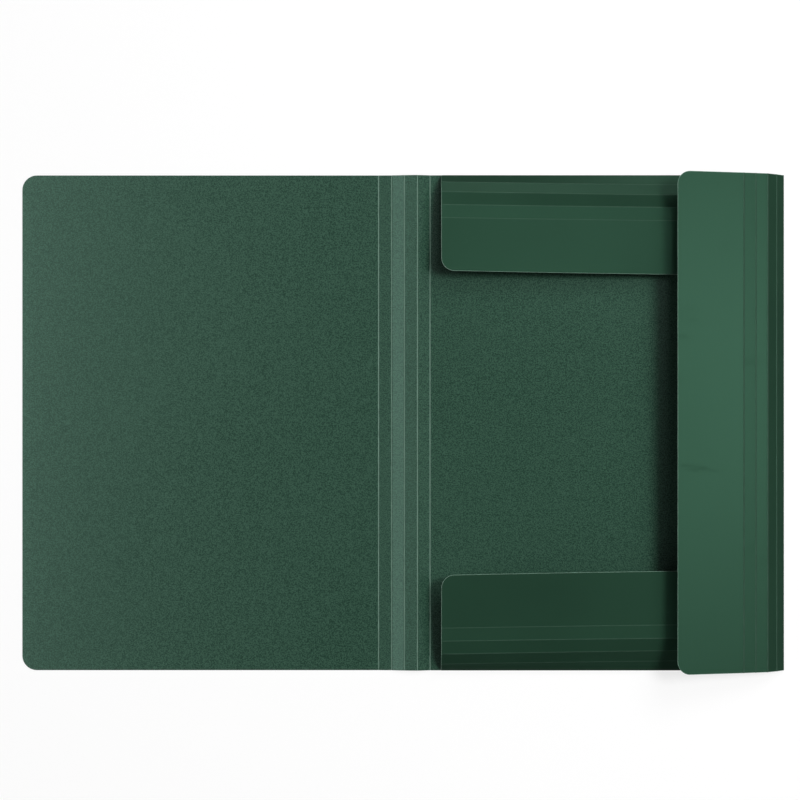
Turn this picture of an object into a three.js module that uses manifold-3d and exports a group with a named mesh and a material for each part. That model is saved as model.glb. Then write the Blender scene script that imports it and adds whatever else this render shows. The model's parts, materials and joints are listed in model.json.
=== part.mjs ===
// Three-flap document folder, lying open on a table with its inner faces up.
// A single sheet of polypropylene is scored and folded: front cover, four spine strips, back panel
// with a top and a bottom flap, then four strips and a panel that make the fore-edge flap.
// Millimetres. +X runs from the front cover to the fore edge, +Y to the top edge, +Z up.
// The origin is the middle of the bounding box, on the table.
import * as THREE from 'three';
import { mergeVertices } from 'three/addons/utils/BufferGeometryUtils.js';
import Module from 'manifold-3d';

// Sheet
const sheetThickness = 0.5;
const panelHeight = 318;
const coverWidth = 229;
const backWidth = 227;
const coverCornerRadius = 9.4;
const cornerSteps = 8;

// Scored strips, each side of the back panel and on each flap
const stripWidth = 8.4;
const creaseGap = 0.3;
const scoreHalfWidth = 0.45;
const scoreDepth = 0.15;

// Spine at rest: tilt of the strips from the front cover to the back panel, where the last one
// takes up what is left of the height between the two
const spineTilts = [-3, -13, -6];

// Top and bottom flaps, tilt of strips 1 to 4 and of the panel at the spine end and the fore end
const flapSpineEndTilts = [53, 38, 11, 5, 7.8];
const flapForeEndTilts = [25, 32.5, 21.5, -2.5, -1];
const flapPanelDepth = 34.4;
const flapSpineInset = 7;
const flapForeInset = 16;
const flapCornerRadius = 8.2;
const foldInnerRadius = 0.4;
const foldSteps = 6;
const flapColumns = 9;
const flapTail = 1;

// Fore-edge flap, tilt of strips 1 to 4 and of the panel
const foreTilts = [48, 40, 18, 19, 16.3];
const forePanelDepth = 45.3;
const foreCornerRadius = 8.6;

// Closing elastic under the back panel, and the bars that anchor its ends on the inner face
const elasticWidth = 8;
const elasticThickness = 0.9;
const elasticForeInset = 20;
const elasticEndInset = 15;
const elasticTabHeight = 1.2;
const slotClearance = 0.3;
const seatGap = 0.1;
const clipLength = 14;
const clipWidth = 5;
const clipHeight = 2.4;
const clipEdgeRadius = 1;

// Levels and places that follow from the sizes above
const halfHeight = panelHeight / 2;
const halfGap = creaseGap / 2;
const innerBackZ = elasticThickness + seatGap + sheetThickness;
const innerCoverZ = sheetThickness;
const foldOuterRadius = foldInnerRadius + sheetThickness;
const elasticX = backWidth - elasticForeInset;
const elasticEndY = halfHeight - elasticEndInset;

const wasm = await Module();
wasm.setup();

const radians = THREE.MathUtils.degToRad;

const grainedSheet = new THREE.MeshStandardMaterial({ color: 0x2f4b3d, roughness: 0.62, metalness: 0 });
const satinSheet = new THREE.MeshStandardMaterial({ color: 0x38604d, roughness: 0.42, metalness: 0 });
const elasticWeave = new THREE.MeshStandardMaterial({ color: 0x1f3a2d, roughness: 0.9, metalness: 0 });
const clipMetal = new THREE.MeshStandardMaterial({ color: 0xb9bcbf, roughness: 0.35, metalness: 1 });

/** Turns a closed geometry into a solid that can be joined and cut. */
function toSolid(geometry) {
  const bare = geometry.clone();
  bare.deleteAttribute('normal');
  bare.deleteAttribute('uv');
  const merged = mergeVertices(bare, 1e-5);
  return new wasm.Manifold(new wasm.Mesh({
    numProp: 3,
    vertProperties: new Float32Array(merged.attributes.position.array),
    triVerts: new Uint32Array(merged.index.array),
  }));
}

/** Turns a solid back into a geometry. */
function toGeometry(solid) {
  const mesh = solid.getMesh();
  const geometry = new THREE.BufferGeometry();
  geometry.setAttribute('position', new THREE.BufferAttribute(new Float32Array(mesh.vertProperties), 3));
  geometry.setIndex(new THREE.BufferAttribute(new Uint32Array(mesh.triVerts), 1));
  geometry.computeVertexNormals();
  return geometry;
}

/** Extrudes an outline drawn in X and Z along Y, centred on Y = 0. */
function extrudeAlongY(outline, length) {
  const geometry = new THREE.ExtrudeGeometry(outline, { depth: length, bevelEnabled: false });
  geometry.rotateX(Math.PI / 2);
  geometry.translate(0, length / 2, 0);
  return geometry;
}

/** Extrudes an outline drawn in X and Y from one level to another. */
function extrudeUp(outline, lowZ, highZ) {
  const settings = { depth: highZ - lowZ, bevelEnabled: false, curveSegments: cornerSteps };
  const geometry = new THREE.ExtrudeGeometry(outline, settings);
  geometry.translate(0, 0, lowZ);
  return geometry;
}

/**
 * Section of a flat sheet across its creases, inner face at Z = 0 and outer face below it.
 * A scored edge is thinned from the inner face, and a plain one is square.
 */
function sheetSection(startX, endX, scoredStart, scoredEnd) {
  const outline = new THREE.Shape();
  outline.moveTo(startX, -sheetThickness);
  outline.lineTo(endX, -sheetThickness);
  if (scoredEnd) {
    outline.lineTo(endX, -scoreDepth);
    outline.lineTo(endX - scoreHalfWidth, 0);
  } else {
    outline.lineTo(endX, 0);
  }
  if (scoredStart) {
    outline.lineTo(startX + scoreHalfWidth, 0);
    outline.lineTo(startX, -scoreDepth);
  } else {
    outline.lineTo(startX, 0);
  }
  outline.closePath();
  return outline;
}

/** A strip between two creases, its first crease line on X = 0. */
function stripGeometry() {
  return extrudeAlongY(sheetSection(halfGap, stripWidth - halfGap, true, true), panelHeight);
}

/** A panel that starts at the crease line X = 0 and ends in a free edge with two round corners. */
function endPanelGeometry(depth, cornerRadius) {
  const section = toSolid(extrudeAlongY(sheetSection(halfGap, depth, true, false), panelHeight));
  const outline = new THREE.Shape();
  outline.moveTo(0, -halfHeight);
  outline.lineTo(depth - cornerRadius, -halfHeight);
  outline.absarc(depth - cornerRadius, cornerRadius - halfHeight, cornerRadius, -Math.PI / 2, 0, false);
  outline.lineTo(depth, halfHeight - cornerRadius);
  outline.absarc(depth - cornerRadius, halfHeight - cornerRadius, cornerRadius, 0, Math.PI / 2, false);
  outline.lineTo(0, halfHeight);
  outline.closePath();
  const prism = toSolid(extrudeUp(outline, -2 * sheetThickness, sheetThickness));
  return toGeometry(section.intersect(prism));
}

/** The flat back panel, with the slots for the elastic and room for the folds of its two flaps. */
function backPlateSolid() {
  const section = sheetSection(halfGap, backWidth - halfGap, true, true);
  let plate = toSolid(extrudeAlongY(section, panelHeight));
  const reliefLength = backWidth - flapSpineInset - flapForeInset;
  const reliefX = flapSpineInset + reliefLength / 2;
  for (const side of [-1, 1]) {
    const relief = new THREE.BoxGeometry(reliefLength, 2 * foldOuterRadius, 4 * sheetThickness);
    relief.translate(reliefX, side * halfHeight, -sheetThickness / 2);
    const slotWidth = elasticWidth + 2 * slotClearance;
    const slotDepth = elasticThickness + 2 * slotClearance;
    const slot = new THREE.BoxGeometry(slotWidth, slotDepth, 4 * sheetThickness);
    slot.translate(elasticX, side * (elasticEndY - elasticThickness / 2), -sheetThickness / 2);
    plate = plate.subtract(toSolid(relief)).subtract(toSolid(slot));
  }
  return plate;
}

/**
 * Rows of the developed flap, from inside the back panel to the free edge.
 * Each row has the stretch it ends, how far along it, how deep its score is, and how far its two
 * ends are drawn in by the round corners.
 */
function flapRows() {
  const rows = [{ stretch: 0, length: 0, score: 0, drawnIn: 0 }];
  for (let step = 0; step <= foldSteps; step += 1) {
    rows.push({ stretch: 1, length: step / foldSteps, score: 0, drawnIn: 0 });
  }
  for (let strip = 1; strip <= flapSpineEndTilts.length - 1; strip += 1) {
    rows.push({ stretch: strip + 1, length: -scoreHalfWidth, score: 0, drawnIn: 0 });
    rows.push({ stretch: strip + 1, length: 0, score: scoreDepth, drawnIn: 0, crease: true });
    rows.push({ stretch: strip + 2, length: scoreHalfWidth, score: 0, drawnIn: 0 });
  }
  for (let step = 0; step <= cornerSteps; step += 1) {
    const angle = (step / cornerSteps) * (Math.PI / 2);
    rows.push({
      stretch: flapSpineEndTilts.length + 1,
      length: flapPanelDepth - flapCornerRadius * (1 - Math.sin(angle)),
      score: 0,
      drawnIn: flapCornerRadius * (1 - Math.cos(angle)),
    });
  }
  return rows;
}

/**
 * Inner-face point and outward normal of each row, in Y and Z, for one place along the flap.
 * share is 0 at the spine end and 1 at the fore end.
 */
function flapSection(rows, share) {
  const tilts = flapSpineEndTilts.map((tilt, i) => radians(tilt + share * (flapForeEndTilts[i] - tilt)));
  const headings = tilts.map((tilt) => Math.PI - tilt);
  const foldAngle = headings[0];
  const foldY = halfHeight - foldOuterRadius;
  const lengths = headings.map(() => stripWidth);
  lengths[0] -= foldInnerRadius * foldAngle;
  lengths[lengths.length - 1] = flapPanelDepth;
  const starts = [new THREE.Vector2(
    foldY + foldInnerRadius * Math.sin(foldAngle),
    foldInnerRadius * (1 - Math.cos(foldAngle)),
  )];
  headings.forEach((heading, i) => {
    const along = new THREE.Vector2(Math.cos(heading), Math.sin(heading));
    starts.push(starts[i].clone().addScaledVector(along, lengths[i]));
  });
  return rows.map((row) => {
    if (row.stretch === 0) {
      return { point: new THREE.Vector2(foldY - flapTail, 0), normal: new THREE.Vector2(0, -1) };
    }
    if (row.stretch === 1) {
      const turned = foldAngle * row.length;
      const normal = new THREE.Vector2(Math.sin(turned), -Math.cos(turned));
      const point = new THREE.Vector2(foldY, foldInnerRadius).addScaledVector(normal, foldInnerRadius);
      return { point, normal };
    }
    const index = row.stretch - 2;
    const heading = headings[index];
    const fromStart = row.length < 0 || row.crease ? lengths[index] + row.length : row.length;
    const along = new THREE.Vector2(Math.cos(heading), Math.sin(heading));
    const point = starts[index].clone().addScaledVector(along, fromStart);
    const normal = new THREE.Vector2(Math.sin(heading), -Math.cos(heading));
    if (row.crease) {
      const next = headings[index + 1];
      const halfTurn = (next - heading) / 2;
      normal.set(Math.sin(heading + halfTurn), -Math.cos(heading + halfTurn));
      normal.divideScalar(Math.cos(halfTurn));
    }
    return { point, normal };
  });
}

/** The top flap as a closed sheet: rows across its creases, columns from the spine to the fore edge. */
function topFlapGeometry() {
  const rows = flapRows();
  const flapStartX = flapSpineInset;
  const flapEndX = backWidth - flapForeInset;
  const positions = [];
  for (const face of ['inner', 'outer']) {
    rows.forEach((row, rowIndex) => {
      for (let column = 0; column < flapColumns; column += 1) {
        const across = column / (flapColumns - 1);
        const x = THREE.MathUtils.lerp(flapStartX + row.drawnIn, flapEndX - row.drawnIn, across);
        const share = (x - flapStartX) / (flapEndX - flapStartX);
        const { point, normal } = flapSection(rows, share)[rowIndex];
        const offset = face === 'inner' ? row.score : sheetThickness;
        positions.push(x, point.x + normal.x * offset, point.y + normal.y * offset);
      }
    });
  }
  const vertex = (side, row, column) => (side * rows.length + row) * flapColumns + column;
  const indices = [];
  const quad = (a, b, c, d) => indices.push(a, b, c, a, c, d);
  const lastRow = rows.length - 1;
  const lastColumn = flapColumns - 1;
  for (let row = 0; row < lastRow; row += 1) {
    for (let column = 0; column < lastColumn; column += 1) {
      quad(vertex(0, row, column), vertex(0, row, column + 1),
        vertex(0, row + 1, column + 1), vertex(0, row + 1, column));
      quad(vertex(1, row, column), vertex(1, row + 1, column),
        vertex(1, row + 1, column + 1), vertex(1, row, column + 1));
    }
    quad(vertex(0, row, 0), vertex(0, row + 1, 0), vertex(1, row + 1, 0), vertex(1, row, 0));
    quad(vertex(0, row, lastColumn), vertex(1, row, lastColumn),
      vertex(1, row + 1, lastColumn), vertex(0, row + 1, lastColumn));
  }
  for (let column = 0; column < lastColumn; column += 1) {
    quad(vertex(0, 0, column), vertex(1, 0, column), vertex(1, 0, column + 1), vertex(0, 0, column + 1));
    quad(vertex(0, lastRow, column), vertex(0, lastRow, column + 1),
      vertex(1, lastRow, column + 1), vertex(1, lastRow, column));
  }
  const geometry = new THREE.BufferGeometry();
  geometry.setAttribute('position', new THREE.Float32BufferAttribute(positions, 3));
  geometry.setIndex(indices);
  return geometry;
}

/** The same sheet on the other side of the folder, with its faces turned to point out again. */
function mirroredInY(geometry) {
  const mirrored = geometry.clone().scale(1, -1, 1);
  const index = mirrored.index.array;
  for (let i = 0; i < index.length; i += 3) {
    [index[i + 1], index[i + 2]] = [index[i + 2], index[i + 1]];
  }
  return mirrored;
}

/** Back panel with the top and bottom flaps folded in over it, in one piece. */
function backPanelGeometry() {
  const flap = topFlapGeometry();
  return toGeometry(backPlateSolid().add(toSolid(flap)).add(toSolid(mirroredInY(flap))));
}

/** The elastic: a flat strap under the panel whose two ends turn up through the slots. */
function elasticGeometry() {
  const low = -innerBackZ;
  const strapTop = low + elasticThickness;
  const tabTop = elasticTabHeight;
  const inner = elasticEndY - elasticThickness;
  const outline = new THREE.Shape();
  outline.moveTo(-elasticEndY + elasticThickness, low);
  outline.lineTo(elasticEndY - elasticThickness, low);
  outline.absarc(inner, strapTop, elasticThickness, -Math.PI / 2, 0, false);
  outline.lineTo(elasticEndY, tabTop);
  outline.lineTo(inner, tabTop);
  outline.lineTo(inner, strapTop);
  outline.lineTo(-inner, strapTop);
  outline.lineTo(-inner, tabTop);
  outline.lineTo(-elasticEndY, tabTop);
  outline.lineTo(-elasticEndY, strapTop);
  outline.absarc(-inner, strapTop, elasticThickness, Math.PI, 1.5 * Math.PI, false);
  const settings = { depth: elasticWidth, bevelEnabled: false, curveSegments: foldSteps };
  const geometry = new THREE.ExtrudeGeometry(outline, settings);
  geometry.rotateX(Math.PI / 2);
  geometry.rotateZ(Math.PI / 2);
  geometry.translate(-elasticWidth / 2, 0, 0);
  return geometry;
}

/** A crimped bar with a half-round back, and a pocket below for the end of the elastic. */
function clipGeometry() {
  const section = new THREE.Shape();
  section.moveTo(-clipWidth / 2, 0);
  section.lineTo(clipWidth / 2, 0);
  section.absarc(clipWidth / 2 - clipEdgeRadius, clipHeight - clipEdgeRadius, clipEdgeRadius,
    0, Math.PI / 2, false);
  section.absarc(clipEdgeRadius - clipWidth / 2, clipHeight - clipEdgeRadius, clipEdgeRadius,
    Math.PI / 2, Math.PI, false);
  section.closePath();
  const bar = extrudeAlongY(section, clipLength);
  bar.rotateZ(Math.PI / 2);
  const pocketWidth = elasticWidth + 2 * slotClearance;
  const pocketDepth = elasticThickness + 2 * slotClearance;
  const pocketHeight = elasticTabHeight + slotClearance - seatGap;
  const pocket = new THREE.BoxGeometry(pocketWidth, pocketDepth, 2 * pocketHeight);
  return toGeometry(toSolid(bar).subtract(toSolid(pocket)));
}

/** Makes a named mesh. */
function named(name, geometry, material) {
  const mesh = new THREE.Mesh(geometry, material);
  mesh.name = name;
  return mesh;
}

/**
 * Hangs pieces on each other in a row, crease line to crease line. Each heading is the direction of
 * a piece in degrees, from flat, positive where it rises.
 */
function foldInTurn(parent, meshes, headings) {
  let holder = parent;
  let previousHeading = 0;
  meshes.forEach((mesh, i) => {
    const hinge = new THREE.Group();
    hinge.position.x = i === 0 ? 0 : stripWidth;
    hinge.rotation.y = -radians(headings[i] - previousHeading);
    hinge.add(mesh);
    holder.add(hinge);
    holder = hinge;
    previousHeading = headings[i];
  });
}

/** Headings of the spine strips and the front cover, as seen from the back panel. */
function spineHeadings() {
  const fallen = spineTilts.reduce((sum, tilt) => sum + stripWidth * Math.sin(radians(tilt)), 0);
  const rise = (innerCoverZ - innerBackZ - fallen) / stripWidth;
  const backStripTilt = THREE.MathUtils.radToDeg(Math.asin(rise));
  return [backStripTilt, ...[...spineTilts].reverse(), 0];
}

const folder = new THREE.Group();

const base = new THREE.Group();
base.position.z = innerBackZ;
base.add(named('back_panel', backPanelGeometry(), grainedSheet));
folder.add(base);

const elastic = named('elastic_band', elasticGeometry(), elasticWeave);
elastic.position.x = elasticX;
base.add(elastic);
for (const [place, side] of [['top', 1], ['bottom', -1]]) {
  const clip = named(`elastic_clip_${place}`, clipGeometry(), clipMetal);
  clip.position.set(elasticX, side * (elasticEndY - elasticThickness / 2), seatGap);
  base.add(clip);
}

const spine = new THREE.Group();
spine.rotation.z = Math.PI;
base.add(spine);
const spinePieces = [4, 3, 2, 1].map((n) => named(`spine_strip_${n}`, stripGeometry(), grainedSheet));
spinePieces.push(named('front_cover', endPanelGeometry(coverWidth, coverCornerRadius), grainedSheet));
foldInTurn(spine, spinePieces, spineHeadings());

const foreEdge = new THREE.Group();
foreEdge.position.x = backWidth;
base.add(foreEdge);
const forePieces = [1, 2, 3, 4].map((n) => named(`fore_edge_strip_${n}`, stripGeometry(), satinSheet));
forePieces.push(named('fore_edge_flap', endPanelGeometry(forePanelDepth, foreCornerRadius), satinSheet));
foldInTurn(foreEdge, forePieces, foreTilts.map((tilt) => 180 - tilt));

folder.updateMatrixWorld(true);
const bounds = new THREE.Box3().setFromObject(folder, true);
folder.position.x = -(bounds.min.x + bounds.max.x) / 2;

export default folder;
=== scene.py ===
import json
import logging
import math
from contextlib import contextmanager
from dataclasses import dataclass, field
from enum import Enum, IntEnum
from typing import Callable, Iterable, Iterator, Sequence

import bmesh
import bpy
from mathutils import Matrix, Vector


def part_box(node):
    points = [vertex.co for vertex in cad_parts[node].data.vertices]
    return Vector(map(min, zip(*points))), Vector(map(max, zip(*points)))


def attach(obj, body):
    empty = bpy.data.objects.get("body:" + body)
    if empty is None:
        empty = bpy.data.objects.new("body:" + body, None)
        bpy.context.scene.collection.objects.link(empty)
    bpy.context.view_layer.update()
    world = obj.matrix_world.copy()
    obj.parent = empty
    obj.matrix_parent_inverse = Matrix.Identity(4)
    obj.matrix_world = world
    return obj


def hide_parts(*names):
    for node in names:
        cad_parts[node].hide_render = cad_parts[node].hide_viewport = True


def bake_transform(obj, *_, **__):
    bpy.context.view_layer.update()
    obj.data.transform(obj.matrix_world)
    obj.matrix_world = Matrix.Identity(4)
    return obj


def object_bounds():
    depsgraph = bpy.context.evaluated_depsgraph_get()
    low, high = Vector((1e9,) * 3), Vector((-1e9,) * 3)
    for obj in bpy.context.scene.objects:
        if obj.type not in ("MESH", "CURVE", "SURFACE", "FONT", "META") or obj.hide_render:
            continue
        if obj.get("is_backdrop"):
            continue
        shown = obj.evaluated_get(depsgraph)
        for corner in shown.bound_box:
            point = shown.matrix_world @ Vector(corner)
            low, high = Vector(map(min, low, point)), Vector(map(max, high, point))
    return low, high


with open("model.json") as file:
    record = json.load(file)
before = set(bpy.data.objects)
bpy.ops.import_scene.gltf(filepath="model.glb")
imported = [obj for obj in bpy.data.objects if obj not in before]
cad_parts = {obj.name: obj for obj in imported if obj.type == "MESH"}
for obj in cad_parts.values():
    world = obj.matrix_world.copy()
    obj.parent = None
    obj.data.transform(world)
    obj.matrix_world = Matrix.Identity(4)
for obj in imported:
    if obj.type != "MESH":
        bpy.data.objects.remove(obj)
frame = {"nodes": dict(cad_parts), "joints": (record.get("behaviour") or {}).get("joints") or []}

MM = 0.001
TOUCH = 0.01 * MM
SHEET = 0.5 * MM
STRIP_COUNT = 4
STRIP_WIDTH = 8.4 * MM
WEB_HALF_WIDTH = 0.6 * MM
SCORE_MARK = "score"
MATERIAL_BESIDE = -1
CUT_EDGE_MATERIAL = 2
NOISE_MIDDLE = 0.5
NEAR_FREE_EDGE = 1.0 * MM
FLAP_TILT = math.radians(16.3)

log = logging.getLogger("folder")


class Axis(Enum):
    """Which way a cut divides a flat blank, as the normal of the cut."""

    WIDTH = (1.0, 0.0, 0.0)
    HEIGHT = (0.0, 1.0, 0.0)


class Element(Enum):
    """What is selected on a blank: the select mode and the list of the edit mesh."""

    VERTEX = ("VERT", "verts")
    EDGE = ("EDGE", "edges")
    FACE = ("FACE", "faces")


class Side(IntEnum):
    """The edge of the back panel that a side flap folds over."""

    TOP = 1
    BOTTOM = -1


class Toward(IntEnum):
    """The way that a row of strips leaves the back panel."""

    FORE_EDGE = 1
    SPINE = -1


class Task(Enum):
    """What a soft box does: it lights the sheet or it is mirrored in its gloss."""

    LIGHT = "light"
    GLOSS = "gloss"


class Sock:
    """A shader value that takes part in Python expressions."""

    def __init__(self, shader: "Shader", link: bpy.types.NodeSocket) -> None:
        """Keeps the socket and the shader that it belongs to."""
        self.shader = shader
        self.link = link

    def _math(self, operation: str, first: "Value", second: "Value") -> "Sock":
        """Adds a Math node on two values."""
        return self.shader.node("ShaderNodeMath", {"operation": operation}, {0: first, 1: second})

    def __add__(self, other: "Value") -> "Sock":
        """self + other."""
        return self._math("ADD", self, other)

    def __radd__(self, other: "Value") -> "Sock":
        """other + self."""
        return self._math("ADD", other, self)

    def __sub__(self, other: "Value") -> "Sock":
        """self - other."""
        return self._math("SUBTRACT", self, other)

    def __rsub__(self, other: "Value") -> "Sock":
        """other - self."""
        return self._math("SUBTRACT", other, self)

    def __mul__(self, other: "Value") -> "Sock":
        """self * other."""
        return self._math("MULTIPLY", self, other)

    def between(self, low: float, high: float) -> "Sock":
        """Rises smoothly from 0 at low to 1 at high.

        Args:
            low: value where the ramp starts.
            high: value where the ramp ends.

        Returns:
            The smoothed share.
        """
        settings = {"interpolation_type": "SMOOTHSTEP"}
        inputs = {"Value": self, "From Min": low, "From Max": high}
        return self.shader.node("ShaderNodeMapRange", settings, inputs)


Value = float | Sock
Colour = tuple[float, float, float]
Ramp = tuple[float, float]
Stretch = tuple[float, float, float]


def linear(colour: Colour) -> Colour:
    """Turns a colour as seen on a screen, 0 to 255, into the renderer's linear values.

    Args:
        colour: red, green and blue from 0 to 255.

    Returns:
        The same colour in linear light.
    """
    shares = [channel / 255 for channel in colour]
    return tuple(s / 12.92 if s <= 0.04045 else ((s + 0.055) / 1.055) ** 2.4 for s in shares)


def scaled(colour: Colour, factor: float, lift: float = 0.0) -> Colour:
    """The colour made lighter or darker by a factor, and lifted by an even grey."""
    return tuple(factor * channel + lift for channel in colour)


class Shader:
    """The node tree of one material."""

    def __init__(self, name: str) -> None:
        """Starts a material with an empty tree.

        Args:
            name: the material's name.
        """
        self.material = bpy.data.materials.new(name)
        self.material.use_nodes = True
        self.tree = self.material.node_tree
        self.tree.nodes.clear()

    def node(self, kind: str, settings: dict | None = None, inputs: dict | None = None,
             output: str | int = 0) -> Sock:
        """Adds a node.

        Args:
            kind: the node's type.
            settings: properties that are set first.
            inputs: values or links of its sockets, by name or number.
            output: the socket that is returned.

        Returns:
            The chosen output.
        """
        made = self.tree.nodes.new(kind)
        for key, value in (settings or {}).items():
            setattr(made, key, value)
        for key, value in (inputs or {}).items():
            if isinstance(value, Sock):
                self.tree.links.new(value.link, made.inputs[key])
            else:
                made.inputs[key].default_value = value
        return Sock(self, made.outputs[output])

    def place(self) -> Sock:
        """Adds the coordinates of the piece itself, in metres."""
        return self.node("ShaderNodeTexCoord", output="Object")

    def noise(self, place: Sock, scale: float, detail: float = 2.0, roughness: float = 0.5) -> Sock:
        """Adds a noise texture.

        Args:
            place: coordinates.
            scale: features per metre.
            detail: octaves.
            roughness: share of the finer octaves.

        Returns:
            The noise value.
        """
        inputs = {"Vector": place, "Scale": scale, "Detail": detail, "Roughness": roughness}
        return self.node("ShaderNodeTexNoise", {}, inputs, "Fac")

    def stretched(self, place: Sock, scale: Stretch) -> Sock:
        """Scales coordinates by axis."""
        return self.node("ShaderNodeMapping", {}, {"Vector": place, "Scale": scale})

    def mix(self, share: Value, first: Colour | Sock, second: Colour | Sock) -> Sock:
        """Mixes two colours.

        Args:
            share: 0 gives the first colour and 1 the second.
            first: a colour or a link.
            second: a colour or a link.

        Returns:
            The mixed colour.
        """
        made = self.tree.nodes.new("ShaderNodeMix")
        made.data_type = "RGBA"
        sockets = {"Factor_Float": share, "A_Color": first, "B_Color": second}
        by_name = {socket.identifier: socket for socket in made.inputs}
        for name, value in sockets.items():
            if isinstance(value, Sock):
                self.tree.links.new(value.link, by_name[name])
            else:
                by_name[name].default_value = (*value, 1.0) if isinstance(value, tuple) else value
        outputs = {socket.identifier: socket for socket in made.outputs}
        return Sock(self, outputs["Result_Color"])

    def bump(self, height: Sock, depth: float) -> Sock:
        """Turns a height into a normal.

        Args:
            height: relief from 0 to 1.
            depth: what 1 stands for, in metres.

        Returns:
            The bumped normal.
        """
        inputs = {"Strength": 1.0, "Distance": depth, "Height": height}
        return self.node("ShaderNodeBump", {}, inputs, "Normal")

    def finish(self, inputs: dict) -> bpy.types.Material:
        """Ends the tree in a Principled BSDF.

        Args:
            inputs: values or links of its sockets.

        Returns:
            The material.
        """
        return self.surface(self.node("ShaderNodeBsdfPrincipled", {}, inputs, "BSDF"))

    def surface(self, shown: Sock) -> bpy.types.Material:
        """Links a surface to the material output.

        Args:
            shown: the surface.

        Returns:
            The material.
        """
        end = self.tree.nodes.new("ShaderNodeOutputMaterial")
        self.tree.links.new(shown.link, end.inputs["Surface"])
        return self.material


@dataclass(frozen=True)
class SheetFace:
    """One face of the coloured polypropylene sheet, paler along its score lines: partly stress whitening,
    partly a painted highlight.
    """

    name: str
    colour: Colour
    roughness: float
    gloss: float
    gloss_tint: Colour
    whitening_and_highlight: float
    # Colour of the score lines: partly stress whitening of the creased sheet, partly a painted highlight.
    stress_white_and_highlight: Colour = (132, 160, 146)
    breaks_per_metre: float = 160.0
    break_ramp: Ramp = (0.25, 0.7)
    break_share: float = 0.3
    drift_roughness: float = 0.06

    def finished(self, shader: Shader, place: Sock, tone: Sock, rough: Sock,
                 normal: Sock) -> bpy.types.Material:
        """Whitens the score lines, broken up along the line, and ends the material; the whitening is partly
        real stress whitening and partly a painted highlight.

        Args:
            shader: the material's tree.
            place: coordinates of the piece.
            tone: colour of the unscored face.
            rough: its roughness.
            normal: its relief.

        Returns:
            The material of this face.
        """
        score = shader.node("ShaderNodeAttribute", {"attribute_name": SCORE_MARK}, {}, "Fac")
        broken = shader.noise(place, self.breaks_per_metre, detail=3.0).between(*self.break_ramp)
        # Paler score lines: partly stress whitening, partly a painted highlight on the groove walls.
        share = score * ((1 - self.break_share) + broken * self.break_share) * self.whitening_and_highlight
        return shader.finish({
            "Base Color": shader.mix(share, tone, linear(self.stress_white_and_highlight)),
            "Roughness": rough,
            "Specular IOR Level": self.gloss,
            "Specular Tint": (*self.gloss_tint, 1.0),
            "Normal": normal,
        })


@dataclass(frozen=True)
class GrainedFace(SheetFace):
    """Inner face, with the roller's sand grain: pits with painted shade, and crests and handled patches
    lightened by dust and a painted sheen.
    """

    name: str = "grained_inner_face"
    colour: Colour = (35, 70, 54)
    roughness: float = 0.33
    gloss: float = 0.10
    gloss_tint: Colour = (0.62, 1.0, 0.84)
    whitening_and_highlight: float = 0.7
    # Lift of the lighter grain colour: dust and a painted sheen.
    dust_and_sheen: Colour = (0.026, 0.034, 0.029)
    pit_shade: float = 0.30
    calm_share: float = 0.30
    wear_and_sheen_share: float = 0.08
    sand_per_metre: float = 1450.0
    coarse_per_metre: float = 1000.0
    drift_per_metre: float = 7.0
    grain_ramp: Ramp = (0.38, 0.62)
    wear_and_sheen_ramp: Ramp = (0.3, 0.75)
    sand_share: float = 0.8
    coarse_share: float = 0.2
    sand_roughness: float = 0.12
    pit_depth: float = 0.03 * MM

    def material(self) -> bpy.types.Material:
        """Builds the grained face.

        Returns:
            The material.
        """
        shader = Shader(self.name)
        place = shader.place()
        base = linear(self.colour)
        lighter = tuple(channel + dust_and_sheen for channel, dust_and_sheen in zip(base, self.dust_and_sheen))
        sand = shader.noise(place, self.sand_per_metre, roughness=0.6)
        coarse = shader.noise(place, self.coarse_per_metre, detail=1.0)
        drift = shader.noise(place, self.drift_per_metre)
        grain = sand * self.sand_share + coarse * self.coarse_share
        # Speckle that follows the grain relief: painted shade in the pits, dust and a painted sheen on the
        # crests.
        speckled = shader.mix(grain.between(*self.grain_ramp), scaled(base, self.pit_shade), lighter)
        calm = shader.mix(self.calm_share, speckled, base)
        # Broad patches lightened towards the lighter colour: wear and a painted handling sheen.
        rubbed_and_sheened = shader.mix(drift.between(*self.wear_and_sheen_ramp) * self.wear_and_sheen_share, calm, lighter)
        drifting = self.roughness + (drift - NOISE_MIDDLE) * self.drift_roughness
        rough = drifting + (sand - NOISE_MIDDLE) * self.sand_roughness
        return self.finished(shader, place, rubbed_and_sheened, rough, shader.bump(grain, self.pit_depth))


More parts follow.
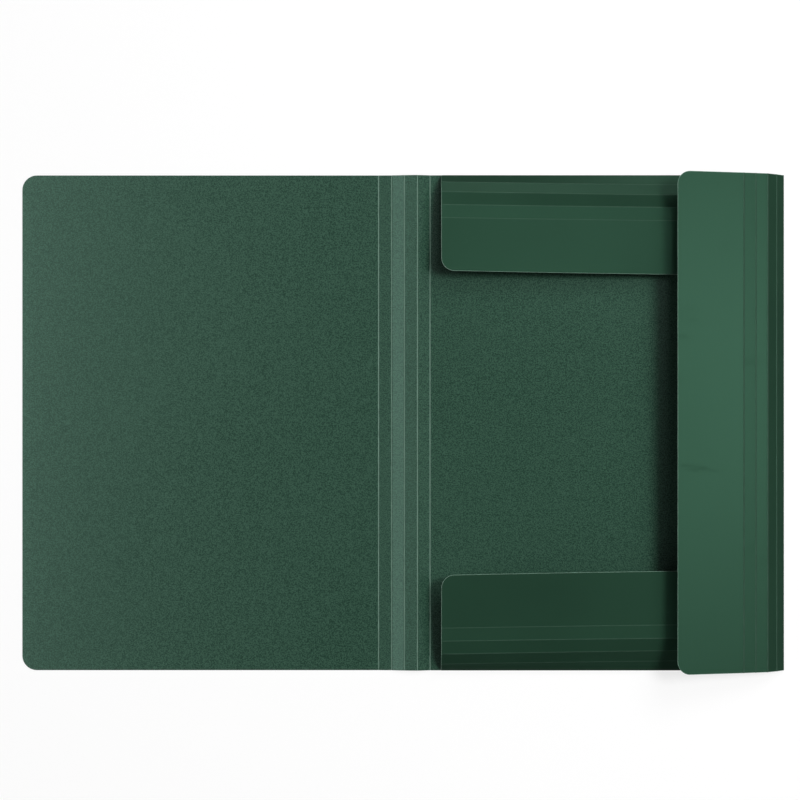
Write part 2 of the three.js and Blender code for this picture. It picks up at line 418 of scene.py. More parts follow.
@dataclass(frozen=True)
class SatinFace(SheetFace):
    """Outer face, smooth, with a faint orange peel, drawn streaks and light handling marks."""

    name: str = "satin_outer_face"
    colour: Colour = (29, 53, 40)
    roughness: float = 0.37
    gloss: float = 0.18
    gloss_tint: Colour = (0.38, 1.0, 0.66)
    whitening_and_highlight: float = 0.10
    lighter: float = 1.10
    darker: float = 0.92
    peel_per_metre: float = 420.0
    streaks_per_metre: float = 240.0
    marks_per_metre: float = 95.0
    drift_per_metre: float = 9.0
    drift_ramp: Ramp = (0.3, 0.7)
    mark_ramp: Ramp = (0.60, 0.74)
    streak_stretch: Stretch = (1.0, 0.06, 1.0)
    mark_stretch: Stretch = (0.2, 1.0, 1.0)
    peel_tone: float = 0.12
    mark_tone: float = 0.10
    mark_roughness: float = 0.05
    peel_share: float = 0.7
    streak_share: float = 0.3
    peel_depth: float = 0.006 * MM

    def material(self) -> bpy.types.Material:
        """Builds the satin face.

        Returns:
            The material.
        """
        shader = Shader(self.name)
        place = shader.place()
        base = linear(self.colour)
        lighter = scaled(base, self.lighter)
        peel = shader.noise(place, self.peel_per_metre)
        streaks = shader.noise(shader.stretched(place, self.streak_stretch), self.streaks_per_metre)
        drift = shader.noise(place, self.drift_per_metre, detail=3.0)
        handled = shader.stretched(place, self.mark_stretch)
        rubbed = shader.noise(handled, self.marks_per_metre, detail=5.0, roughness=0.7)
        marks = rubbed.between(*self.mark_ramp)
        tone = shader.mix(drift.between(*self.drift_ramp), scaled(base, self.darker), lighter)
        share = marks * self.mark_tone + (peel - NOISE_MIDDLE) * self.peel_tone
        toned = shader.mix(share, tone, lighter)
        relief = shader.bump(peel * self.peel_share + streaks * self.streak_share, self.peel_depth)
        drifting = self.roughness + (drift - NOISE_MIDDLE) * self.drift_roughness
        return self.finished(shader, place, toned, drifting + marks * self.mark_roughness, relief)


@dataclass(frozen=True)
class CutEdgeAndRimHighlight:
    """Die-cut edge of the sheet, a little drawn along the cut; its pale colour is partly the cut sheet's
    own and partly a painted highlight along the rims.
    """

    # Pale edge colour: partly the cut sheet's own paler edge, partly a painted highlight along the rims.
    colour: Colour = (108, 140, 124)
    roughness: float = 0.42
    drawn_roughness: float = 0.1
    gloss: float = 0.4
    drawn_per_metre: float = 900.0
    drawn_ramp: Ramp = (0.3, 0.7)
    darker: float = 0.8
    lighter: float = 1.2
    depth: float = 0.02 * MM

    def material(self) -> bpy.types.Material:
        """Builds the cut edge.

        Returns:
            The material.
        """
        shader = Shader("cut_edge")
        drawn = shader.noise(shader.place(), self.drawn_per_metre, detail=3.0)
        base = linear(self.colour)
        darker, lighter = scaled(base, self.darker), scaled(base, self.lighter)
        return shader.finish({
            "Base Color": shader.mix(drawn.between(*self.drawn_ramp), darker, lighter),
            "Roughness": self.roughness + drawn * self.drawn_roughness,
            "Specular IOR Level": self.gloss,
            "Normal": shader.bump(drawn, self.depth),
        })


@dataclass(frozen=True)
class ElasticFinish:
    """Flat woven elastic: fine ribs across, warp threads along, with painted shade between the threads and
    a painted highlight on them.
    """

    colour: Colour = (30, 58, 44)
    rib_bands_per_metre: float = 1250.0
    thread_bands_per_metre: float = 1500.0
    fuzz_per_metre: float = 2600.0
    rib_share: float = 0.6
    thread_share: float = 0.25
    fuzz_share: float = 0.15
    weave_ramp: Ramp = (0.15, 0.85)
    waver: float = 0.25
    roughness: float = 0.86
    raised_sheen: float = 0.10
    gloss: float = 0.3
    shaded_between_threads: float = 0.5
    lit_on_threads: float = 2.1
    highlight_lift: float = 0.002
    depth: float = 0.12 * MM

    def material(self) -> bpy.types.Material:
        """Builds the weave.

        Returns:
            The material.
        """
        shader = Shader("woven_elastic")
        place = shader.place()
        ribs = self._wave(shader, place, "Y", self.rib_bands_per_metre)
        threads = self._wave(shader, place, "X", self.thread_bands_per_metre)
        fuzz = shader.noise(place, self.fuzz_per_metre, detail=3.0)
        base = linear(self.colour)
        # Raised threads get a painted highlight, and the hollows between them get painted shade.
        lit = scaled(base, self.lit_on_threads, self.highlight_lift)
        height = ribs * self.rib_share + threads * self.thread_share + fuzz * self.fuzz_share
        tone = shader.mix(height.between(*self.weave_ramp), scaled(base, self.shaded_between_threads), lit)
        return shader.finish({
            "Base Color": tone,
            "Roughness": self.roughness - height * self.raised_sheen,
            "Specular IOR Level": self.gloss,
            "Normal": shader.bump(height, self.depth),
        })

    def _wave(self, shader: Shader, place: Sock, axis: str, per_metre: float) -> Sock:
        """A smooth wave along one axis.

        Args:
            shader: the material's tree.
            place: coordinates of the strap.
            axis: the axis that the wave runs along.
            per_metre: bands per metre, a light and a dark one to each wave.

        Returns:
            The wave, from 0 to 1.
        """
        settings = {"wave_type": "BANDS", "bands_direction": axis, "wave_profile": "SIN"}
        # A scale of pi / 10 gives one wave, which is two bands, to a metre.
        scale = per_metre / 20 * math.pi
        inputs = {"Vector": place, "Scale": scale, "Distortion": self.waver, "Detail": 1.0}
        return shader.node("ShaderNodeTexWave", settings, inputs, "Fac")


@dataclass(frozen=True)
class ClipFinish:
    """Nickelled steel with a brushed direction and a few rubbed spots."""

    colour: Colour = (196, 198, 202)
    roughness: float = 0.28
    brushed_per_metre: float = 5200.0
    brushed_stretch: Stretch = (0.05, 1.0, 1.0)
    brushed_roughness: float = 0.12
    rubbed_per_metre: float = 520.0
    rubbed_ramp: Ramp = (0.45, 0.7)
    rubbed_shade: float = 0.72
    rubbed_share: float = 0.4
    rubbed_roughness: float = 0.10
    depth: float = 0.008 * MM

    def material(self) -> bpy.types.Material:
        """Builds the metal.

        Returns:
            The material.
        """
        shader = Shader("nickelled_steel")
        place = shader.place()
        brushed = shader.noise(shader.stretched(place, self.brushed_stretch), self.brushed_per_metre)
        rubbed = shader.noise(place, self.rubbed_per_metre, detail=3.0).between(*self.rubbed_ramp)
        base = linear(self.colour)
        brushing = self.roughness + brushed * self.brushed_roughness
        return shader.finish({
            "Base Color": shader.mix(rubbed * self.rubbed_share, base, scaled(base, self.rubbed_shade)),
            "Metallic": 1.0,
            "Roughness": brushing + rubbed * self.rubbed_roughness,
            "Normal": shader.bump(brushed, self.depth),
        })


def even_cuts(low: float, high: float, parts: int) -> list[float]:
    """Places that divide a length into even parts.

    Args:
        low: where the length starts.
        high: where it ends.
        parts: how many parts it is divided into.

    Returns:
        The places between its two ends.
    """
    return [low + (high - low) * i / parts for i in range(1, parts)]


def middle_of(edge: bmesh.types.BMEdge) -> Vector:
    """The middle of an edge."""
    return (edge.verts[0].co + edge.verts[1].co) / 2


class Bench:
    """One piece on the bench: a flat blank that is cut, folded and thickened with operators."""

    box: tuple[Vector, Vector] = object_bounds()
    corner_steps: int = 12
    edge_round: float = 0.2 * MM
    edge_round_steps: int = 2
    sharp_angle: float = math.radians(60)
    smooth_angle: float = math.radians(40)
    face_weight: int = 100

    def __init__(self, name: str, low: tuple[float, float], high: tuple[float, float]) -> None:
        """Lays a flat blank on Z = 0.

        Args:
            name: the piece's name.
            low: lowest X and Y.
            high: highest X and Y.
        """
        middle = ((low[0] + high[0]) / 2, (low[1] + high[1]) / 2, 0.0)
        bpy.ops.object.select_all(action="DESELECT")
        bpy.ops.mesh.primitive_plane_add(size=1.0, location=middle)
        self.piece = bpy.context.object
        self.piece.name = name
        self.piece.data.name = name
        self.piece.scale = (high[0] - low[0], high[1] - low[1], 1.0)
        bpy.ops.object.transform_apply(location=True, rotation=False, scale=True)

    def take(self) -> None:
        """Makes this piece the one that the operators work on."""
        bpy.ops.object.select_all(action="DESELECT")
        self.piece.select_set(True)
        bpy.context.view_layer.objects.active = self.piece

    @contextmanager
    def editing(self) -> Iterator[bmesh.types.BMesh]:
        """Holds this piece in edit mode for the length of a with block.

        Yields:
            Its edit mesh.
        """
        self.take()
        bpy.ops.object.mode_set(mode="EDIT")
        yield bmesh.from_edit_mesh(self.piece.data)
        bpy.ops.object.mode_set(mode="OBJECT")

    def select(self, mesh: bmesh.types.BMesh, element: Element, wanted: Callable[..., bool]) -> None:
        """Selects some vertices, edges or faces.

        Args:
            mesh: the edit mesh.
            element: what is selected.
            wanted: says whether a vertex, edge or face is.
        """
        mode, items = element.value
        bpy.ops.mesh.select_all(action="DESELECT")
        bpy.ops.mesh.select_mode(type=mode)
        for item in getattr(mesh, items):
            if wanted(item):
                item.select_set(True)
        mesh.select_flush_mode()
        bmesh.update_edit_mesh(self.piece.data)

    def cut(self, axis: Axis, places: Iterable[float]) -> None:
        """Cuts the blank through at some places.

        Args:
            axis: the way that the cuts divide it.
            places: where, in metres.
        """
        normal = Vector(axis.value)
        with self.editing():
            for place in places:
                bpy.ops.mesh.select_all(action="SELECT")
                bpy.ops.mesh.bisect(plane_co=normal * place, plane_no=normal)

    def round_corners(self, radius: float, is_corner: Callable[[Vector], bool]) -> None:
        """Rounds corners of the flat blank.

        Args:
            radius: corner radius.
            is_corner: says by its place whether a vertex is a corner to round.
        """
        with self.editing() as mesh:
            self.select(mesh, Element.VERTEX, lambda vertex: is_corner(vertex.co))
            bpy.ops.mesh.bevel(offset=radius, segments=self.corner_steps, affect="VERTICES", profile=0.5)

    def remove(self, is_waste: Callable[[Vector], bool]) -> None:
        """Takes faces out of the blank.

        Args:
            is_waste: says by its middle whether a face goes.
        """
        with self.editing() as mesh:
            self.select(mesh, Element.FACE, lambda face: is_waste(face.calc_center_median()))
            bpy.ops.mesh.delete(type="FACE")

    def move(self, place: Callable[[Vector], Vector]) -> None:
        """Moves each vertex, as bending and pressing the sheet does.

        Args:
            place: gives the new place of a vertex from its old one.
        """
        for vertex in self.piece.data.vertices:
            vertex.co = place(vertex.co.copy())
        self.piece.data.update()

    def mark(self, name: str, share: Callable[[Vector], float]) -> None:
        """Stores a share at each vertex for the materials to read.

        Args:
            name: the attribute's name.
            share: gives the share at a place of the flat blank.
        """
        layer = self.piece.data.attributes.new(name, "FLOAT", "POINT")
        for vertex, stored in zip(self.piece.data.vertices, layer.data):
            stored.value = share(vertex.co)

    def modifier(self, kind: str, settings: dict) -> None:
        """Adds a modifier and applies it.

        Args:
            kind: the modifier's type.
            settings: its properties.
        """
        self.take()
        made = self.piece.modifiers.new(kind.lower(), kind)
        for key, value in settings.items():
            setattr(made, key, value)
        bpy.ops.object.modifier_apply(modifier=made.name)

    def flip(self) -> None:
        """Turns the blank's faces over."""
        with self.editing():
            bpy.ops.mesh.select_all(action="SELECT")
            bpy.ops.mesh.flip_normals()

    def thicken(self, materials: Sequence[bpy.types.Material]) -> None:
        """Gives the inner face its sheet, towards the outer face.

        Args:
            materials: inner face first, then outer face and, where there is one, cut edge.
        """
        for material in materials:
            self.piece.data.materials.append(material)
        self.modifier("SOLIDIFY", {
            "thickness": SHEET,
            "offset": -1.0,
            "use_even_offset": True,
            "material_offset": 1,
            "material_offset_rim": 1,
        })

    def round_edges(self, is_cut: Callable[[Vector], bool], material: int = MATERIAL_BESIDE) -> None:
        """Rounds the cut edges of the sheet.

        Args:
            is_cut: says by its middle whether an edge is at a cut edge.
            material: number of the material on the round, or that of the faces beside it.
        """
        def wanted(edge: bmesh.types.BMEdge) -> bool:
            """Whether an edge is sharp and at a cut edge."""
            sharp = edge.is_manifold and edge.calc_face_angle(0.0) > self.sharp_angle
            return sharp and is_cut(middle_of(edge))

        with self.editing() as mesh:
            self.select(mesh, Element.EDGE, wanted)
            bpy.ops.mesh.bevel(offset=self.edge_round, segments=self.edge_round_steps, affect="EDGES",
                               clamp_overlap=True, material=material)

    def _inside(self, at: Vector) -> Vector:
        """Presses a point back into the folder's box, as the table and the die do."""
        low, high = self.box
        return Vector(min(max(at[axis], low[axis]), high[axis]) for axis in range(3))

    def dress(self, slot: str) -> None:
        """Keeps the piece in the folder's box and gives it smooth shading.

        Args:
            slot: the record's slot; not used.
        """
        self.move(self._inside)
        self.take()
        bpy.ops.object.shade_smooth_by_angle(angle=self.smooth_angle)
        self.modifier("WEIGHTED_NORMAL", {"keep_sharp": True, "weight": self.face_weight})


def crease(name: str) -> Vector:
    """Place of a crease line, from the joint there.

    Args:
        name: the joint's name.

    Returns:
        A point on the inner face at the crease.
    """
    return Vector(next(joint["pos_m"] for joint in frame["joints"] if joint["name"] == name))


def heading_between(first: Vector, second: Vector) -> float:
    """Angle in the X-Z plane from one crease line to the next."""
    return math.atan2(second.z - first.z, second.x - first.x)


@dataclass
class Strip:
    """A straight run of sheet between two creases, or from a crease to a free edge."""

    start: Vector
    heading: float
    width: float = 0.0

    def place(self, along: float, across: float, up: float = 0.0) -> Vector:
        """Puts a point of the flat strip where the strip lies.

        Args:
            along: distance from its first crease.
            across: place along Y.
            up: height over the face that looks up on a run to the fore edge.

        Returns:
            The point in the folder's frame.
        """
        direction = Vector((math.cos(self.heading), 0.0, math.sin(self.heading)))
        # The inner face is on this side where the run goes to the fore edge, and on the other at the spine.
        side = Vector((-math.sin(self.heading), 0.0, math.cos(self.heading)))
        return self.start + direction * along + side * up + Vector((0.0, across, 0.0))


@dataclass
class FoldedEdge:
    """A row of four scored strips and a panel that hang on each other by creases."""

    names: Sequence[str]
    joints: Sequence[str]
    bodies: Sequence[str]
    toward: Toward
    panel_name: str
    panel_heading: float
    panel_depth: float
    panel_corner: float
    slot: str
    materials: Sequence[bpy.types.Material]
    half_height: float
    edge_material: int = MATERIAL_BESIDE
    score_depth: float = 0.16 * MM
    lip_height: float = 0.03 * MM
    web_columns: int = 12
    panel_rows: int = 24
    panel_column_width: float = 12.0 * MM
    strips: list[Strip] = field(default_factory=list)

    def __post_init__(self) -> None:
        """Works out where each strip lies from the joints."""
        points = [crease(name) for name in self.joints]
        for first, second in zip(points, points[1:]):
            self.strips.append(Strip(first, heading_between(first, second), STRIP_WIDTH))
        self.strips.append(Strip(points[-1], self.panel_heading, self.panel_depth))

    def _flat_to_place(self, strip: Strip) -> Callable[[Vector], Vector]:
        """Gives the move from the flat blank to a strip's place; the spine's inner side is turned over."""
        return lambda at: strip.place(at.x, at.y, self.toward * at.z)

    def _finish(self, bench: Bench) -> None:
        """Turns faces the right way, thickens and dresses a sheet piece.

        Args:
            bench: the piece, where it lies.
        """
        if self.toward is Toward.SPINE:
            bench.flip()
        bench.thicken(self.materials)
        bench.round_edges(self._is_cut_edge, self.edge_material)
        bench.dress(self.slot)

    def _is_cut_edge(self, at: Vector) -> bool:
        """Whether an edge is at the top or bottom edge of the sheet, or on the panel's free outline.

        Args:
            at: middle of the edge.

        Returns:
            True on a die-cut edge, False at a crease.
        """
        if abs(abs(at.y) - self.half_height) < TOUCH:
            return True
        panel = self.strips[-1]
        offset = at - panel.start
        along = offset.x * math.cos(panel.heading) + offset.z * math.sin(panel.heading)
        return along > panel.width - self.panel_corner - TOUCH

    def build_strip(self, index: int) -> Bench:
        """Makes the flat part of one strip.

        Args:
            index: the strip's number, from 0.

        Returns:
            The finished piece.
        """
        strip = self.strips[index]
        low = (WEB_HALF_WIDTH, -self.half_height)
        high = (strip.width - WEB_HALF_WIDTH, self.half_height)
        bench = Bench(self.names[index] + "_sheet", low, high)
        bench.move(self._flat_to_place(strip))
        self._finish(bench)
        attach(bench.piece, self.bodies[index + 1])
        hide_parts(self.names[index])
        return bench

    def build_panel(self) -> Bench:
        """Makes the end panel with its two round corners.

        Returns:
            The finished piece.
        """
        strip = self.strips[-1]
        low = (WEB_HALF_WIDTH, -self.half_height)
        high = (strip.width, self.half_height)
        bench = Bench(self.panel_name + "_sheet", low, high)
        bench.round_corners(self.panel_corner, lambda at: at.x > strip.width - NEAR_FREE_EDGE)
        columns = max(2, round(strip.width / self.panel_column_width))
        bench.cut(Axis.WIDTH, [strip.width * (i + 0.5) / columns for i in range(columns)])
        bench.cut(Axis.HEIGHT, even_cuts(-self.half_height, self.half_height, self.panel_rows))
        bench.move(self._flat_to_place(strip))
        self._finish(bench)
        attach(bench.piece, self.bodies[-1])
        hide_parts(self.panel_name)
        return bench

    def _bent(self, at: Vector, before: Strip, turn: float) -> Vector:
        """Places a point of a flat web on its bend, with the scored groove and the lips beside it.

        Args:
            at: the point of the flat web.
            before: a run that starts at the crease, with the heading of the sheet before it.
            turn: how far the sheet turns at the crease.

        Returns:
            Its place in the folder's frame.
        """
        across = at.x / WEB_HALF_WIDTH
        share = (across + 1) / 2
        eased = share * share * (3 - 2 * share)
        groove = self.score_depth * math.cos(math.pi / 2 * across) ** 2
        lip = self.lip_height * math.sin(math.pi * across) ** 2
        run = Strip(before.start, before.heading + turn * eased)
        return run.place(at.x, at.y, self.toward * (lip - groove))

    def build_web(self, index: int, heading: float) -> Bench:
        """Makes the scored web at one crease, bent as it rests.

        Args:
            index: the crease's number, from 0.
            heading: heading of the sheet before the crease.

        Returns:
            The finished piece.
        """
        after = self.strips[index]
        before = Strip(after.start, heading)
        turn = math.remainder(after.heading - heading, 2 * math.pi)
        half = WEB_HALF_WIDTH
        bench = Bench(self.joints[index] + "_web", (-half, -self.half_height), (half, self.half_height))
        bench.cut(Axis.WIDTH, even_cuts(-half, half, self.web_columns))
        bench.mark(SCORE_MARK, lambda at: math.cos(math.pi / 2 * at.x / half) ** 4)
        bench.move(lambda at: self._bent(at, before, turn))
        self._finish(bench)
        start = before.place(-half, 0.0)
        end = after.place(half, 0.0)
        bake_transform(bench.piece, self.bodies[index], self.bodies[index + 1], start=start, end=end)
        return bench

    def build(self, heading: float) -> list[Bench]:
        """Makes every web, strip and the panel.

        Args:
            heading: heading of the back panel at the first crease.

        Returns:
            The pieces, from the back panel outwards.
        """
        made = []
        for index, strip in enumerate(self.strips):
            made.append(self.build_web(index, heading))
            made.append(self.build_strip(index) if index < STRIP_COUNT else self.build_panel())
            heading = strip.heading
        return made


@dataclass
class SideFlap:
    """The top or bottom flap: four scored strips and a panel, twisted a little along its length."""

    name: str
    side: Side
    start_x: float
    end_x: float
    half_height: float
    floor_z: float
    materials: Sequence[bpy.types.Material]
    spine_end_tilts: Sequence[float] = (53.0, 38.0, 11.0, 5.0, 7.8)
    fore_end_tilts: Sequence[float] = (25.0, 32.5, 21.5, -2.5, -1.0)
    panel_depth: float = 34.4 * MM
    corner: float = 8.2 * MM
    fold_radius: float = 0.4 * MM
    fold_angle: float = 140.0
    fold_steps: int = 10
    columns: int = 24
    score_half_width: float = 0.35 * MM
    score_depth: float = 0.06 * MM
    score_rows: Sequence[float] = (-1.0, -0.5, 0.0, 0.5, 1.0)
    panel_rows: Sequence[float] = (0.25, 0.5, 0.72)

    def build(self) -> Bench:
        """Cuts the flat flap, folds it and thickens it.

        Returns:
            The finished flap, which is part of the back panel's sheet.
        """
        fold = self._fold_length()
        panel_start = fold + STRIP_COUNT * STRIP_WIDTH
        depth = panel_start + self.panel_depth
        bench = Bench(self.name, (self.start_x, 0.0), (self.end_x, depth))
        bench.round_corners(self.corner, lambda at: at.y > depth - NEAR_FREE_EDGE)
        rows = [*even_cuts(0.0, fold, self.fold_steps), fold]
        for index in range(1, STRIP_COUNT + 1):
            line = fold + index * STRIP_WIDTH
            rows += [line + self.score_half_width * share for share in self.score_rows]
        rows += [panel_start + self.panel_depth * share for share in self.panel_rows]
        bench.cut(Axis.HEIGHT, rows)
        bench.cut(Axis.WIDTH, even_cuts(self.start_x, self.end_x, self.columns))
        bench.mark(SCORE_MARK, lambda at: self._score_share(at.y))
        bench.move(self._place)
        if self.side is Side.BOTTOM:
            bench.flip()
        bench.thicken(self.materials)
        bench.round_edges(self._is_cut_edge, CUT_EDGE_MATERIAL)
        bench.dress("satin_sheet")
        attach(bench.piece, "base")
        return bench

    def _fold_length(self) -> float:
        """Length of sheet that goes round the fold at the panel's edge."""
        return self.fold_radius * math.radians(self.fold_angle)

    def _foot(self) -> float:
        """Distance from the folder's middle to the line where the fold starts."""
        return self.half_height - SHEET - self.fold_radius

    def _score_share(self, run: float) -> float:
        """How far a place of the flat flap is scored.

        Args:
            run: its length from the fold line.

        Returns:
            A share that is 1 in the middle of a score line and 0 away from it.
        """
        line = (run - self._fold_length()) / STRIP_WIDTH
        nearest = round(line)
        if not 1 <= nearest <= STRIP_COUNT:
            return 0.0
        off = abs(line - nearest) * STRIP_WIDTH / self.score_half_width
        return math.cos(math.pi / 2 * min(1.0, off)) ** 2

    def _is_cut_edge(self, at: Vector) -> bool:
        """Whether an edge lies on the flap's outline, away from its fold."""
        at_fold = abs(abs(at.y) - self._foot()) < 2 * TOUCH and at.z < self.floor_z + 2 * TOUCH
        return not at_fold

    def _round_fold(self, angle: float, run: float) -> tuple[float, float]:
        """Place on the round of the fold.

        Args:
            angle: how far the whole fold turns.
            run: length of sheet from the fold line.

        Returns:
            Distance outwards and height, both from where the fold starts.
        """
        turned = angle * run / self._fold_length()
        radius = self.fold_radius
        return radius * math.sin(turned), radius * (1 - math.cos(turned))

    def _place(self, at: Vector) -> Vector:
        """Folds a point of the flat flap, at X and the length Y from the fold line.

        Args:
            at: the point of the flat flap.

        Returns:
            Its place over the back panel.
        """
        share = (at.x - self.start_x) / (self.end_x - self.start_x)
        tilts = [a + share * (b - a) for a, b in zip(self.spine_end_tilts, self.fore_end_tilts)]
        headings = [math.pi - math.radians(tilt) for tilt in tilts]
        flat_lengths = [STRIP_WIDTH] * STRIP_COUNT + [self.panel_depth]
        # The fold takes its sheet from the first strip.
        lengths = [STRIP_WIDTH - self.fold_radius * headings[0], *flat_lengths[1:]]
        fold = self._fold_length()
        reach, height = self._round_fold(headings[0], min(at.y, fold))
        left = max(0.0, at.y - fold)
        heading = headings[0]
        for heading, length, flat_length in zip(headings, lengths, flat_lengths):
            run = min(left, flat_length)
            reach += run * length / flat_length * math.cos(heading)
            height += run * length / flat_length * math.sin(heading)
            left -= run
            if left <= 0.0:
                break
        groove = self.score_depth * self._score_share(at.y)
        reach += groove * math.sin(heading)
        height -= groove * math.cos(heading)
        return Vector((at.x, self.side * (self._foot() + reach), self.floor_z + height))


@dataclass
class BackPanel:
    """The flat back panel, set back at its two folds, where the side flaps take over."""

    crease_x: float
    fold_x: float
    half_height: float
    level: float
    materials: Sequence[bpy.types.Material]
    spine_inset: float = 7.0 * MM
    fore_inset: float = 16.0 * MM
    fold_outer: float = 0.9 * MM
    columns: int = 10
    rows: int = 16

    def fold_ends(self) -> tuple[float, float]:
        """X at the two ends of the top and bottom folds."""
        return self.crease_x + self.spine_inset, self.fold_x - self.fore_inset

    def build(self) -> Bench:
        """Makes the panel.

        Returns:
            The finished panel.
        """
        low = (self.crease_x + WEB_HALF_WIDTH, -self.half_height)
        high = (self.fold_x - WEB_HALF_WIDTH, self.half_height)
        bench = Bench("back_panel_sheet", low, high)
        start, end = self.fold_ends()
        inner = self.half_height - self.fold_outer
        bench.cut(Axis.WIDTH, [start, *even_cuts(start, end, self.columns), end])
        bench.cut(Axis.HEIGHT, [-inner, inner, *even_cuts(-inner, inner, self.rows)])
        bench.remove(lambda at: abs(at.y) > inner and start < at.x < end)
        bench.move(lambda at: at + Vector((0.0, 0.0, self.level)))
        bench.thicken(self.materials)
        bench.round_edges(self._is_cut_edge)
        bench.dress("grained_sheet")
        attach(bench.piece, "base")
        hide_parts("back_panel")
        return bench

    def _is_cut_edge(self, at: Vector) -> bool:
        """Whether an edge is on the panel's own top or bottom edge."""
        return abs(abs(at.y) - self.half_height) < TOUCH


@dataclass
class Elastic:
    """The closing elastic under the back panel and the bars at its two ends."""

    band: str = "elastic_band"
    bars: Sequence[str] = ("elastic_clip_top", "elastic_clip_bottom")
    weave: ElasticFinish = ElasticFinish()
    metal: ClipFinish = ClipFinish()

    def build(self) -> list[bpy.types.Object]:
        """Dresses the strap and the bars that the frame carries.

        Returns:
            The dressed nodes.
        """
        weave = self.weave.material()
        metal = self.metal.material()
        dressed = []
        for name, material in ((self.band, weave), *((bar, metal) for bar in self.bars)):
            carried = frame["nodes"][name]
            carried.data.materials.clear()
            carried.data.materials.append(material)
            dressed.append(carried)
        return dressed


@dataclass(frozen=True)
class Lamp:
    """A soft box, round or drawn out along the folder's height."""

    name: str
    place: tuple[float, float, float]
    width: float
    length: float
    power: float
    task: Task


@dataclass
class Studio:
    """Camera straight above, pale floor and soft light."""

    lamps: tuple[Lamp, ...] = (
        Lamp("key", (1.05, 0.34, 2.2), 0.65, 0.65, 43.0, Task.LIGHT),
        Lamp("top", (1.0, 1.35, 1.7), 1.2, 1.2, 21.0, Task.LIGHT),
        Lamp("fill", (-2.0, -1.2, 0.9), 1.0, 1.0, 8.0, Task.LIGHT),
        Lamp("gloss_left", (-0.88, 0.1, 2.0), 0.34, 2.6, 72.0, Task.GLOSS),
        Lamp("gloss_right", (1.7, 0.1, 1.8), 0.6, 0.6, 22.0, Task.GLOSS),
        Lamp("gloss_middle", (0.35, 0.45, 2.0), 0.4, 0.4, 5.0, Task.GLOSS),
        Lamp("gloss_far", (0.2, 2.2, 0.6), 0.5, 0.5, 6.5, Task.GLOSS),
    )
    world_strength: float = 0.12
    background_strength: float = 1.0
    floor_size: float = 6.0
    floor_drop: float = 0.05 * MM
    floor_tone: float = 0.22
    floor_glow: float = 0.777
    floor_paint: Colour = (0.86, 0.86, 0.86)
    floor_mirrored: Colour = (0.12, 0.18, 0.15)
    camera_height: float = 1.55
    metres_per_pixel: float = 0.643 * MM
    centre_x: float = -1.9 * MM
    image_size: int = 800
    object_row: float = 422.8
    sensor: float = 36.0

    def build(self) -> None:
        """Makes the camera, the world, the floor and the lights."""
        self._camera()
        self._world()
        self._floor()
        for lamp in self.lamps:
            self._hang(lamp)

    def _camera(self) -> None:
        """Puts the camera over the folder, with the photograph's framing."""
        data = bpy.data.cameras.new("camera")
        data.sensor_width = self.sensor
        data.lens = self.sensor * self.camera_height / (self.metres_per_pixel * self.image_size)
        data.shift_y = (self.object_row - self.image_size / 2) / self.image_size
        camera = bpy.data.objects.new("camera", data)
        camera.location = (self.centre_x, 0.0, self.camera_height)
        bpy.context.scene.collection.objects.link(camera)
        bpy.context.scene.camera = camera

    def _world(self) -> None:
        """Even grey light from all round, seen as white by the camera."""
        world = bpy.data.worlds.new("studio")
        world.use_nodes = True
        bpy.context.scene.world = world
        tree = world.node_tree
        tree.nodes.clear()
        path = tree.nodes.new("ShaderNodeLightPath")
        soft = tree.nodes.new("ShaderNodeBackground")
        soft.inputs["Strength"].default_value = self.world_strength
        white = tree.nodes.new("ShaderNodeBackground")
        white.inputs["Strength"].default_value = self.background_strength
        mixed = tree.nodes.new("ShaderNodeMixShader")
        end = tree.nodes.new("ShaderNodeOutputWorld")
        tree.links.new(path.outputs["Is Camera Ray"], mixed.inputs["Fac"])
        tree.links.new(soft.outputs[0], mixed.inputs[1])
        tree.links.new(white.outputs[0], mixed.inputs[2])
        tree.links.new(mixed.outputs[0], end.inputs["Surface"])

    def _floor(self) -> None:
        """Lays a white floor that keeps the folder's soft shadow."""
        bpy.ops.object.select_all(action="DESELECT")
        bpy.ops.mesh.primitive_plane_add(size=self.floor_size, location=(0.0, 0.0, -self.floor_drop))
        floor = bpy.context.object
        floor.name = "floor"
        shader = Shader("white_floor")
        mirrored = shader.node("ShaderNodeLightPath", output="Is Glossy Ray")
        paint = shader.mix(mirrored, self.floor_paint, self.floor_mirrored)
        matte = shader.node("ShaderNodeBsdfDiffuse", {}, {"Color": paint}, "BSDF")
        tone = (self.floor_tone, self.floor_tone, self.floor_tone, 1.0)
        shaded = shader.node("ShaderNodeBsdfDiffuse", {}, {"Color": tone}, "BSDF")
        glow = shader.node("ShaderNodeEmission", {}, {"Strength": self.floor_glow}, "Emission")
        both = shader.node("ShaderNodeAddShader", {}, {0: shaded, 1: glow}, "Shader")
        seen = shader.node("ShaderNodeLightPath", output="Is Camera Ray")
        shown = shader.node("ShaderNodeMixShader", {}, {"Fac": seen, 1: matte, 2: both}, "Shader")
        floor.data.materials.append(shader.surface(shown))
        floor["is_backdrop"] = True

    def _hang(self, lamp: Lamp) -> None:
        """Hangs a soft box that looks at the folder.

        Args:
            lamp: its place, size, power and task.
        """
        data = bpy.data.lights.new(lamp.name, "AREA")
        data.shape = "ELLIPSE"
        data.size = lamp.length
        data.size_y = lamp.width
        data.energy = lamp.power
        hung = bpy.data.objects.new(lamp.name, data)
        hung.location = lamp.place
        hung.rotation_euler = (-Vector(lamp.place)).to_track_quat("-Z", "Y").to_euler()
        hung.visible_diffuse = lamp.task is Task.LIGHT
        hung.visible_glossy = lamp.task is Task.GLOSS
        bpy.context.scene.collection.objects.link(hung)


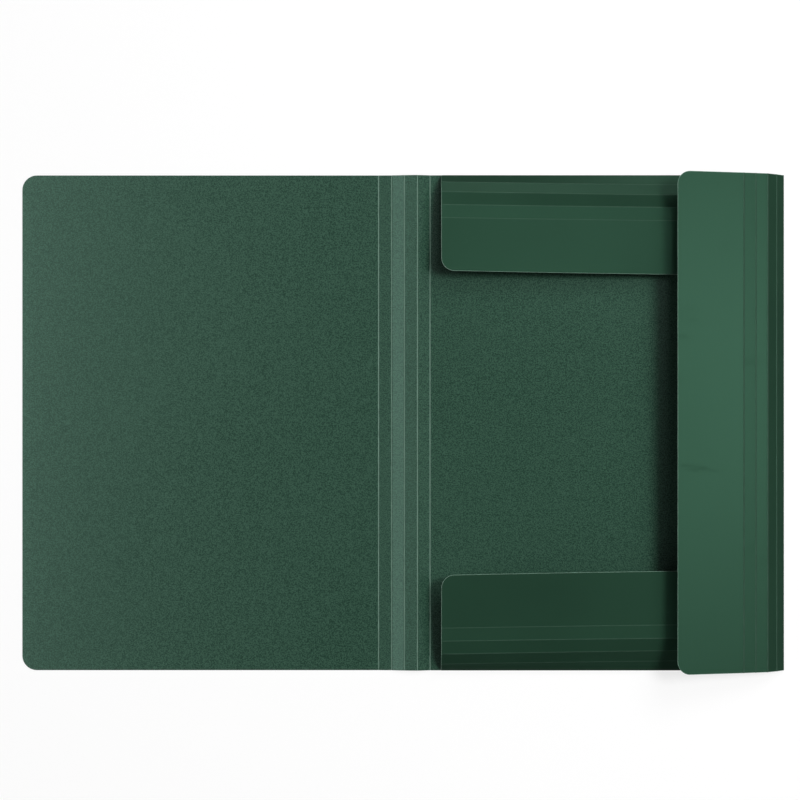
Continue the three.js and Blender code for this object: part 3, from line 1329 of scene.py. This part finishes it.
def spine_and_cover(low_x: float, half_height: float,
                    materials: Sequence[bpy.types.Material]) -> FoldedEdge:
    """The spine's four strips and the front cover.

    Args:
        low_x: X of the cover's free edge.
        half_height: half the folder's height.
        materials: inner and outer face.

    Returns:
        The row, ready to build.
    """
    return FoldedEdge(
        names=[f"spine_strip_{n}" for n in (4, 3, 2, 1)],
        joints=[f"spine_crease_{n}" for n in (5, 4, 3, 2, 1)],
        bodies=["base", "spine_4", "spine_3", "spine_2", "spine_1", "cover"],
        toward=Toward.SPINE,
        panel_name="front_cover",
        panel_heading=math.pi,
        panel_depth=crease("spine_crease_1").x - low_x,
        panel_corner=9.4 * MM,
        slot="grained_sheet",
        materials=materials,
        half_height=half_height,
    )


def fore_edge_and_flap(half_height: float, materials: Sequence[bpy.types.Material]) -> FoldedEdge:
    """The fore edge's four strips and the flap that is folded in.

    Args:
        half_height: half the folder's height.
        materials: inner face, outer face and cut edge.

    Returns:
        The row, ready to build.
    """
    return FoldedEdge(
        names=[f"fore_edge_strip_{n}" for n in (1, 2, 3, 4)],
        joints=[f"fore_crease_{n}" for n in (1, 2, 3, 4, 5)],
        bodies=["base", "fore_1", "fore_2", "fore_3", "fore_4", "flap"],
        toward=Toward.FORE_EDGE,
        panel_name="fore_edge_flap",
        panel_heading=math.pi - FLAP_TILT,
        panel_depth=45.3 * MM,
        panel_corner=8.6 * MM,
        slot="satin_sheet",
        materials=materials,
        half_height=half_height,
        edge_material=CUT_EDGE_MATERIAL,
    )


def main() -> None:
    """Builds the studio, then the folder piece by piece."""
    logging.basicConfig(level=logging.INFO, format="%(message)s")
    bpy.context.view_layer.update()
    bpy.context.scene.view_settings.view_transform = "Standard"
    Studio().build()

    faces = (GrainedFace().material(), SatinFace().material())
    flap_faces = (*faces, CutEdgeAndRimHighlight().material())
    cover_low, cover_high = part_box("front_cover")
    half_height = cover_high.y
    spine_x = crease("spine_crease_5").x
    fore_crease = crease("fore_crease_1")
    back = BackPanel(spine_x, fore_crease.x, half_height, fore_crease.z, faces)
    sheets = [back.build()]
    for name, side in (("top_flap_sheet", Side.TOP), ("bottom_flap_sheet", Side.BOTTOM)):
        flap = SideFlap(name, side, *back.fold_ends(), half_height, fore_crease.z, flap_faces)
        sheets.append(flap.build())
    sheets += spine_and_cover(cover_low.x, half_height, faces).build(math.pi)
    sheets += fore_edge_and_flap(half_height, flap_faces).build(0.0)
    for made in [bench.piece for bench in sheets] + Elastic().build():
        log.info("%s: %d faces", made.name, len(made.data.polygons))


if __name__ == "__main__":
    main()
